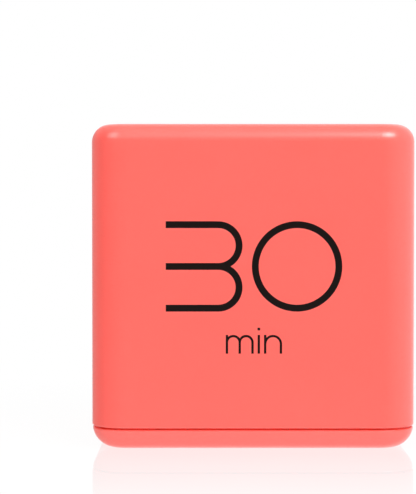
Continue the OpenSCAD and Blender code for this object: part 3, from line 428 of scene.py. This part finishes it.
# Finishes of the record's slots: those with a function of their own, bare metals by colour,
# roughness, stretch and edge, and plain ones
OWN_FINISHES = {"case": case_plastic, "lens": clear_lens, "polarizer": display_film, "board": solder_mask}
STEEL = (0.56, 0.57, 0.58)
METALS = {
    "reflector": ((0.66, 0.68, 0.64), 0.4, (1, 14, 1)),
    "screw": (STEEL, 0.28, (5, 5, 1), 0.12),
    "can": ((0.62, 0.62, 0.6), 0.24, (1, 9, 9), 0.2),
    "brass": ((0.72, 0.47, 0.15), 0.26, (1, 9, 1)),
    "switch_metal": ((0.55, 0.55, 0.54), 0.3, (1, 9, 9)),
    "contact": ((0.66, 0.65, 0.6), 0.22, (9, 1, 9)),
}
PLAIN_FINISHES = {
    "ink": dict(colour=(0.006, 0.0035, 0.003), roughness=0.36, grain=0.09, tint=0.2, depth=0.001,
                Specular_IOR_Level=0.12),
    "tape": dict(colour=(0.012, 0.012, 0.013), roughness=0.55, grain=0.08, tint=0.25),
    "lcd_glass": dict(colour=(0.5, 0.56, 0.5), roughness=0.08, grain=5, tint=0.03, Transmission_Weight=0.7),
    "holder": dict(colour=(0.72, 0.72, 0.7), roughness=0.45, grain=0.2, tint=0.02, edge=0.25),
    "zebra": dict(colour=(0.6, 0.23, 0.22), roughness=0.7, grain=0.15, tint=0.3, stretch=(6, 1, 1)),
    "resin": dict(colour=(0.012, 0.012, 0.013), roughness=0.22, grain=1.2, tint=0.2, depth=0.01),
    "capacitor": dict(colour=(0.016, 0.018, 0.03), roughness=0.3, grain=0.5, tint=0.15, edge=0.3),
    "resistor": dict(colour=(0.02, 0.02, 0.022), roughness=0.35, grain=0.3, tint=0.25),
    "plug": dict(colour=(0.02, 0.02, 0.021), roughness=0.5, grain=0.2, tint=0.2, edge=0.15),
    "ball": dict(colour=STEEL, roughness=0.12, grain=0.6, tint=0.05, depth=0.0005, Metallic=1),
    "ceramic": dict(colour=(0.66, 0.62, 0.52), roughness=0.4, grain=0.25, tint=0.06),
    "phenolic": dict(colour=(0.16, 0.07, 0.03), roughness=0.5, grain=0.35, tint=0.2, edge=0.12),
    "knob": dict(colour=(0.017, 0.017, 0.018), roughness=0.42, grain=0.12, tint=0.15, edge=0.12),
    "cell": dict(colour=(0.2, 0.21, 0.23), roughness=0.3, grain=0.6, tint=0.05),
    "wire": dict(colour=(0.02, 0.02, 0.02), roughness=0.4, grain=0.4, tint=0.15),
}
finishes = {}


def make_finish(slot):
    if slot in OWN_FINISHES:
        return OWN_FINISHES[slot]()
    if slot in METALS:
        return brushed(slot, *METALS[slot])
    return finish(slot, **PLAIN_FINISHES[slot])


def finish_of(slot):
    """Material of a slot in the record, made once."""
    if slot not in finishes:
        finishes[slot] = make_finish(slot)
    return finishes[slot]


def dress_nodes():
    """Gives each solid the finish of the slot that its material is named after."""
    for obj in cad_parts.values():
        for holder in obj.material_slots:
            holder.material = finish_of(holder.material.name.split(".")[0])


# Places of solids
def middle_of(node):
    low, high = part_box(node)
    return (low + high) / 2


def top_of(node):
    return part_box(node)[1].z


def radius_of(node):
    low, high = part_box(node)
    return (high.x - low.x) / 2


def start_of(node, way):
    """X at which a solid starts when it is followed along +X or -X."""
    low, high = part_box(node)
    return low.x if way > 0 else high.x


# Mesh helpers
CAPITAL_SHARE = 0.73


def add_piece(mesh, body, slot, *replaced):
    """Links a mesh as a piece of the object that rides on a body and may stand for solids."""
    piece = bpy.data.objects.new(mesh.name, mesh)
    scene.collection.objects.link(piece)
    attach(piece, body)
    if replaced:
        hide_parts(*replaced)


def mesh_from(name, work, materials, smooth_below=35):
    """Mesh of a bmesh, with smooth shading across edges below that angle."""
    bmesh.ops.recalc_face_normals(work, faces=work.faces)
    limit = math.radians(smooth_below)
    for face in work.faces:
        face.smooth = True
    for edge in work.edges:
        edge.smooth = len(edge.link_faces) == 2 and edge.calc_face_angle() < limit
    mesh = bpy.data.meshes.new(name)
    work.to_mesh(mesh)
    work.free()
    for material in materials:
        mesh.materials.append(material)
    return mesh


def add_rings(work, rings, paints=None):
    """Skins a row of closed rings and caps its ends. Paints holds a material index for each step."""
    paints = paints or [0] * (len(rings) - 1)
    rows = [[work.verts.new(point) for point in points] for points in rings]
    for low, high, paint in zip(rows, rows[1:], paints):
        for k in range(len(low)):
            after = (k + 1) % len(low)
            work.faces.new((low[k], low[after], high[after], high[k])).material_index = paint
    work.faces.new(rows[0][::-1]).material_index = paints[0]
    work.faces.new(rows[-1]).material_index = paints[-1]


def ring(middle, way, across, radius, sides):
    """Points of a circle round a way."""
    other = way.cross(across)
    turns = [2 * math.pi * k / sides for k in range(sides)]
    return [middle + radius * (math.cos(t) * across + math.sin(t) * other) for t in turns]


def add_tube(work, path, diameter, paint=0, sides=12):
    """Round tube along a path, with its cross section carried along without twist."""
    last = len(path) - 1
    across = (path[1] - path[0]).orthogonal().normalized()
    rings = []
    for i, point in enumerate(path):
        way = (path[min(i + 1, last)] - path[max(i - 1, 0)]).normalized()
        across = (across - way * across.dot(way)).normalized()
        rings.append(ring(point, way, across, diameter / 2, sides))
    add_rings(work, rings, [paint] * last)


def add_lathe(work, start, way, profile, paints, sides):
    """Turned form along a way, from a profile of (along, radius) in millimetres."""
    across = way.orthogonal().normalized()
    rings = [ring(start + way * along * MM, way, across, radius * MM, sides) for along, radius in profile]
    add_rings(work, rings, paints)


def add_prism(work, outline, low, high):
    """Upright prism of a flat outline of (x, y) points, all in millimetres."""
    add_rings(work, [[Vector((x, y, z)) * MM for x, y in outline] for z in (low, high)])


def bar(x0, y0, x1, y1):
    return [(x0, y0), (x1, y0), (x1, y1), (x0, y1)]


def text_mesh(name, words, height, thickness, material, matrix):
    """Mesh of a word, centred at the origin in its plane and then moved by a matrix."""
    curve = bpy.data.curves.new(name, "FONT")
    curve.body = words
    curve.size = height * MM / CAPITAL_SHARE
    curve.extrude = thickness * MM / 2
    curve.align_x = "CENTER"
    curve.align_y = "CENTER"
    draft = bpy.data.objects.new(name, curve)
    scene.collection.objects.link(draft)
    mesh = bpy.data.meshes.new_from_object(draft.evaluated_get(bpy.context.evaluated_depsgraph_get()))
    bpy.data.objects.remove(draft)
    bpy.data.curves.remove(curve)
    mesh.transform(matrix)
    mesh.materials.clear()
    mesh.materials.append(material)
    return mesh


# Contact springs, with straight ends, bends and turns that taper to the cell
SPRING_WIRE = 0.5 * MM
SPRING_BEND = 0.45 * MM
SPRING_RADII = 2.8 * MM, 2.0 * MM
SPRING_PITCH = 0.95 * MM
SPRING_TURNS = 3.5
SPRING_STEPS = 28
BEND_STEPS = 6
SPRING_SMOOTH = 50


def spring_bend(radius):
    """Spots (along, turn) of the bend between a straight end and the turns."""
    spots = []
    for i in range(BEND_STEPS + 1):
        beta = math.pi / 2 * i / BEND_STEPS
        turn = SPRING_BEND * (1 - math.cos(beta)) / radius
        spots.append((SPRING_WIRE + SPRING_BEND * math.sin(beta), turn))
    return spots


def spring_path(plate, way):
    """Points of a spring from its plate towards its cell, which lies along +X or -X."""
    wide, narrow = SPRING_RADII
    lead = SPRING_WIRE + SPRING_BEND
    climb = SPRING_TURNS * SPRING_PITCH
    length = 2 * lead + climb
    steps = math.ceil(SPRING_TURNS * SPRING_STEPS)
    spots = [(0, 0)] + spring_bend(wide)
    first = spots[-1][1]
    for i in range(1, steps + 1):
        spots.append((lead + climb * i / steps, first + 2 * math.pi * SPRING_TURNS * i / steps))
    bend = spring_bend(narrow)
    last = spots[-1][1] + bend[-1][1]
    spots += [(length - along, last - turn) for along, turn in bend[-2::-1]] + [(length, last)]
    points = []
    for along, turn in spots:
        share = min(1, max(0, (along - lead) / climb))
        radius = wide + (narrow - wide) * share
        points.append(plate + Vector((way * along, way * radius * math.sin(turn), radius * math.cos(turn))))
    return points


def add_springs():
    for node, cell, way in (("negative_spring", "cell_front", 1), ("bridge_spring", "cell_rear", -1)):
        plate = middle_of(cell)
        plate.x = start_of(node, way)
        work = bmesh.new()
        add_tube(work, spring_path(plate, way), SPRING_WIRE)
        mesh = mesh_from(node.replace("spring", "coil"), work, [finish_of("contact")], SPRING_SMOOTH)
        add_piece(mesh, "case", "contact", node)


# Wires inside the case, with their pads on the board, in millimetres
WIRE_D = 1.2
CORE_D = 0.55
WIRE_SIDES = 16
CORE_SIDES = 8
WIRE_STEPS = 36
BARE_STEPS = 1
WIRE_SMOOTH = 60
PAD_EDGE = 2.4
FRONT_PADS = (-14, -10.5, 10.5, 14)
SIDE_PADS = (1, 8)
PIN_STEP = 2.5
RIM_TURN = math.radians(20)
WIRE_COLOURS = {"black": (0.014, 0.014, 0.015), "red": (0.42, 0.016, 0.014), "white": (0.7, 0.69, 0.66)}
SOLDER_PROFILE = ((0, 0.85), (0.25, 0.82), (0.55, 0.66), (0.8, 0.45), (1.0, 0.3))
SOLDER_PAINT = 2


def wire_ends():
    """Colour, lower end and upper end of both wires of the battery, the switch and the buzzer."""
    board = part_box("main_board")[0]
    front = [Vector((x * MM, board.y + PAD_EDGE * MM, board.z)) for x in FRONT_PADS]
    side = [Vector((board.x + PAD_EDGE * MM, y * MM, board.z)) for y in SIDE_PADS]
    tab_x, tab_z = middle_of("negative_contact").x, top_of("negative_contact")
    tabs = [Vector((tab_x, middle_of(cell).y, tab_z)) for cell in ("cell_front", "cell_rear")]
    pin = middle_of("switch_housing")
    pin.z = top_of("switch_housing")
    disc = middle_of("buzzer_ceramic")
    disc_r = radius_of("buzzer_ceramic")
    on_disc = Vector((disc.x - disc_r / 2, disc.y, top_of("buzzer_ceramic")))
    rim_r = (disc_r + radius_of("buzzer_plate")) / 2
    rim_x, rim_y = disc.x + rim_r * math.sin(RIM_TURN), disc.y - rim_r * math.cos(RIM_TURN)
    on_rim = Vector((rim_x, rim_y, top_of("buzzer_plate")))
    return {
        "battery": (("black", tabs[0], side[0]), ("red", tabs[1], side[1])),
        "switch": (("black", pin - X * PIN_STEP * MM, front[2]), ("white", pin, front[3])),
        "buzzer": (("red", on_disc, front[0]), ("black", on_rim, front[1])),
    }


def wire_path(low, high):
    """Points of a wire that rises from one point to another, upright at both ends."""
    points = []
    for i in range(WIRE_STEPS + 1):
        share = (1 - math.cos(math.pi * i / WIRE_STEPS)) / 2
        spot = low.lerp(high, share)
        spot.z = low.z + (high.z - low.z) * i / WIRE_STEPS
        points.append(spot)
    return points


def add_wires():
    solder = finish("solder", (0.6, 0.6, 0.58), 0.25, grain=0.4, tint=0.1, depth=0.004, Metallic=1)
    solder_paints = [SOLDER_PAINT] * (len(SOLDER_PROFILE) - 1)
    sleeves = {}
    for colour, paint in WIRE_COLOURS.items():
        sleeves[colour] = finish("wire_" + colour, paint, 0.38, grain=0.5, tint=0.12, stretch=(1, 1, 0.2))
    for name, pair in wire_ends().items():
        work = bmesh.new()
        for paint, (colour, low, high) in enumerate(pair):
            path = wire_path(low, high)
            add_tube(work, path[BARE_STEPS:-BARE_STEPS], WIRE_D * MM, paint, WIRE_SIDES)
            add_tube(work, path, CORE_D * MM, SOLDER_PAINT, CORE_SIDES)
            for end, way in ((low, Z), (high, -Z)):
                add_lathe(work, end, way, SOLDER_PROFILE, solder_paints, WIRE_SIDES)
        materials = [sleeves[colour] for colour, low, high in pair] + [solder]
        add_piece(mesh_from(name + "_leads", work, materials, WIRE_SMOOTH), "case", "wire", name + "_wires")


# Cells: steel ends, a shrunk sleeve with a pale band at the positive end, and an insulating ring
CELL_R = 5.25
CELL_L = 44.5
CELL_NUB_R = 1.9
CELL_NUB_H = 1.1
CELL_BAND = 12
CELL_SHOULDER = CELL_L - CELL_NUB_H
CELL_SIDES = 64
CELL_SMOOTH = 40
SLEEVE, BAND, TIN, RING, SIGN = range(5)
SIGN_LONG = 1.4
SIGN_THIN = 0.28
SIGN_LIFT = 0.02
SIGN_INSET = 5
SIGN_STEPS = 8


def cell_profile():
    """Profile of a cell from its flat end, and the material of each step."""
    shoulder = CELL_SHOULDER
    steps = [
        ((0.12, 3.2), TIN), ((0, 3.4), TIN), ((0, 4.1), TIN), ((0.12, 4.3), TIN), ((0.34, 4.4), TIN),
        ((0.3, 4.55), SLEEVE), ((0.06, 4.75), SLEEVE), ((0.1, 5.0), SLEEVE), ((0.26, 5.17), SLEEVE),
        ((0.5, CELL_R), SLEEVE), ((shoulder - CELL_BAND, CELL_R), SLEEVE),
        ((shoulder - 0.5, CELL_R), BAND), ((shoulder - 0.26, 5.17), BAND), ((shoulder - 0.1, 5.0), BAND),
        ((shoulder - 0.02, 4.7), BAND), ((shoulder - 0.1, 4.2), BAND), ((shoulder - 0.3, 4.1), BAND),
        ((shoulder - 0.34, 2.75), RING), ((shoulder - 0.2, 2.6), TIN), ((shoulder - 0.12, 2.2), TIN),
        ((shoulder + 0.05, 2.0), TIN), ((shoulder + 0.3, CELL_NUB_R), TIN),
        ((CELL_L - 0.3, CELL_NUB_R), TIN), ((CELL_L - 0.1, 1.8), TIN), ((CELL_L, 1.55), TIN),
    ]
    return [spot for spot, paint in steps], [paint for spot, paint in steps[1:]]


def add_sign(work, start, way, along, upright):
    """Plus or minus printed on a cell's sleeve, where it faces the door."""
    arms = [(SIGN_LONG, SIGN_THIN)] + ([(SIGN_THIN, SIGN_LONG)] if upright else [])
    for level, (half_x, half_y) in enumerate(arms):
        radius = CELL_R + SIGN_LIFT * (1 + level / 2)
        left, right = (start + way * (along + side * half_x) * MM for side in (-1, 1))
        rings = []
        for i in range(SIGN_STEPS + 1):
            turn = half_y / CELL_R * (2 * i / SIGN_STEPS - 1)
            out = Vector((0, math.sin(turn), -math.cos(turn))) * MM
            upper, lower = out * radius, out * CELL_R
            rings.append([left + upper, right + upper, right + lower, left + lower])
        add_rings(work, rings, [SIGN] * SIGN_STEPS)


def add_cells():
    materials = [
        finish("cell_sleeve", (0.035, 0.05, 0.07), 0.26, grain=0.7, tint=0.08),
        finish("cell_band", (0.62, 0.63, 0.64), 0.26, grain=0.7, tint=0.04),
        brushed("cell_steel", (0.6, 0.6, 0.59), 0.25, (6, 1, 1)),
        finish("cell_ring", (0.5, 0.48, 0.44), 0.6, grain=0.3, tint=0.06),
        finish("cell_marks", (0.3, 0.31, 0.32), 0.35, grain=0.4, tint=0.05),
    ]
    profile, paints = cell_profile()
    for node, way in (("cell_rear", -X), ("cell_front", X)):
        start = middle_of(node)
        start.x = start_of(node, way.x)
        work = bmesh.new()
        add_lathe(work, start, way, profile, paints, CELL_SIDES)
        add_sign(work, start, way, SIGN_INSET, False)
        add_sign(work, start, way, CELL_SHOULDER - SIGN_INSET, True)
        add_piece(mesh_from(node + "_dressed", work, materials, CELL_SMOOTH), "case", "cell", node)


# Display: four zeros and a colon on the film, and small words under them
DIGIT_W = 6
DIGIT_H = 10.4
DIGIT_STROKE = 1.25
DIGIT_GAP = 0.14
DIGIT_SLANT = 0.08
DIGIT_LEFT = (-15.2, -7.5, 1.9, 9.6)
DIGIT_LOW = -4
COLON_LEFT = -0.45
COLON_SHARES = (0.28, 0.72)
INK_T = 0.03
WORD_H = 1.5
WORD_Y = -6.4


def zero_shapes():
    """Outlines of the six lit bars of a zero, upright at the origin."""
    w, h, s, g = DIGIT_W, DIGIT_H, DIGIT_STROKE, DIGIT_GAP
    top = [(g, h), (w - g, h), (w - s - g, h - s), (s + g, h - s)]
    left = [(0, h - g), (s, h - s - g), (s, h / 2 + g), (0, h / 2 + g)]
    upper = [top, left, [(w - x, y) for x, y in left]]
    return upper + [[(x, h - y) for x, y in shape] for shape in upper]


def add_display():
    film = top_of("lcd_polarizer") / MM
    ink = finish("lcd_ink", (0.008, 0.01, 0.009), 0.5, grain=0.15, tint=0.1, Specular_IOR_Level=0.1)
    shapes = [(left, shape) for left in DIGIT_LEFT for shape in zero_shapes()]
    for share in COLON_SHARES:
        low = DIGIT_H * share - DIGIT_STROKE / 2
        shapes.append((COLON_LEFT, bar(0, low, DIGIT_STROKE, low + DIGIT_STROKE)))
    work = bmesh.new()
    for left, shape in shapes:
        outline = [(left + x + DIGIT_SLANT * y, DIGIT_LOW + y) for x, y in shape]
        add_prism(work, outline, film, film + INK_T)
    add_piece(mesh_from("lcd_digits", work, [ink]), "case", "ink")
    for word, first in (("MIN", 0), ("SEC", 2)):
        middle = (DIGIT_LEFT[first] + DIGIT_LEFT[first + 1] + DIGIT_W) / 2
        spot = Matrix.Translation(Vector((middle, WORD_Y, film + INK_T / 2)) * MM)
        add_piece(text_mesh("lcd_word_" + word.lower(), word, WORD_H, INK_T, ink, spot), "case", "ink")


# Words in the finger pocket, on either side of the knob
POCKET_FLOOR = 1.0
KNOB_TRAVEL = 2.0
SLOT_HALF = 3.25
POCKET_RIM = 2.0
SWITCH_WORD_H = 0.95


def add_switch_words():
    middle = middle_of("switch_knob") / MM
    middle.x += KNOB_TRAVEL / 2
    for word, side in (("ON", -1), ("OFF", 1)):
        x = middle.x + side * (SLOT_HALF + POCKET_RIM / 2)
        spot = Matrix.Translation(Vector((x, middle.y, POCKET_FLOOR - INK_T / 2)) * MM)
        spot @= Matrix.Rotation(math.pi, 4, "X") @ Matrix.Rotation(side * math.pi / 2, 4, "Z")
        name = "switch_word_" + word.lower()
        add_piece(text_mesh(name, word, SWITCH_WORD_H, INK_T, finish_of("ink"), spot), "case", "ink")


# Marks moulded inside the battery door that show how the cells lie
DOOR_INSIDE = 1.75
MARK_H = 0.12
MARK_W = 0.35
MARK_HALF = (13, 3.6)
MARK_NUB = (1.2, 1.3)
MINUS_SPAN = (-10, -7)
PLUS_AT = 8.5
PLUS_HALF = 1.5


def cell_marks(middle, way):
    """Outlines of the lines round a cell, and of its signs."""
    hx, hy = MARK_HALF
    nx, ny = MARK_NUB
    w, a = MARK_W, PLUS_HALF
    shapes = [bar(-hx, hy - w, hx, hy), bar(-hx, -hy, hx, w - hy), bar(-hx, w - hy, w - hx, hy - w)]
    shapes += [bar(hx - w, ny, hx, hy - w), bar(hx - w, w - hy, hx, -ny)]
    shapes += [bar(hx, ny, hx + nx, ny + w), bar(hx, -ny - w, hx + nx, -ny)]
    shapes += [bar(hx + nx, -ny - w, hx + nx + w, ny + w), bar(MINUS_SPAN[0], -w, MINUS_SPAN[1], w)]
    plus = [(a, w), (w, w), (w, a), (-w, a), (-w, w), (-a, w)]
    plus += [(-x, -y) for x, y in plus]
    shapes.append([(PLUS_AT + x, y) for x, y in plus])
    return [[(middle.x + way * x, middle.y + y) for x, y in shape] for shape in shapes]


def add_door_marks():
    work = bmesh.new()
    for node, way in (("cell_rear", -1), ("cell_front", 1)):
        for shape in cell_marks(middle_of(node) / MM, way):
            add_prism(work, shape, DOOR_INSIDE, DOOR_INSIDE + MARK_H)
    add_piece(mesh_from("door_marks", work, [finish_of("case")]), "door", "case")


add_camera()
add_world()
add_lamps()
add_floor()
dress_nodes()
add_springs()
add_wires()
add_cells()
add_display()
add_switch_words()
add_door_marks()
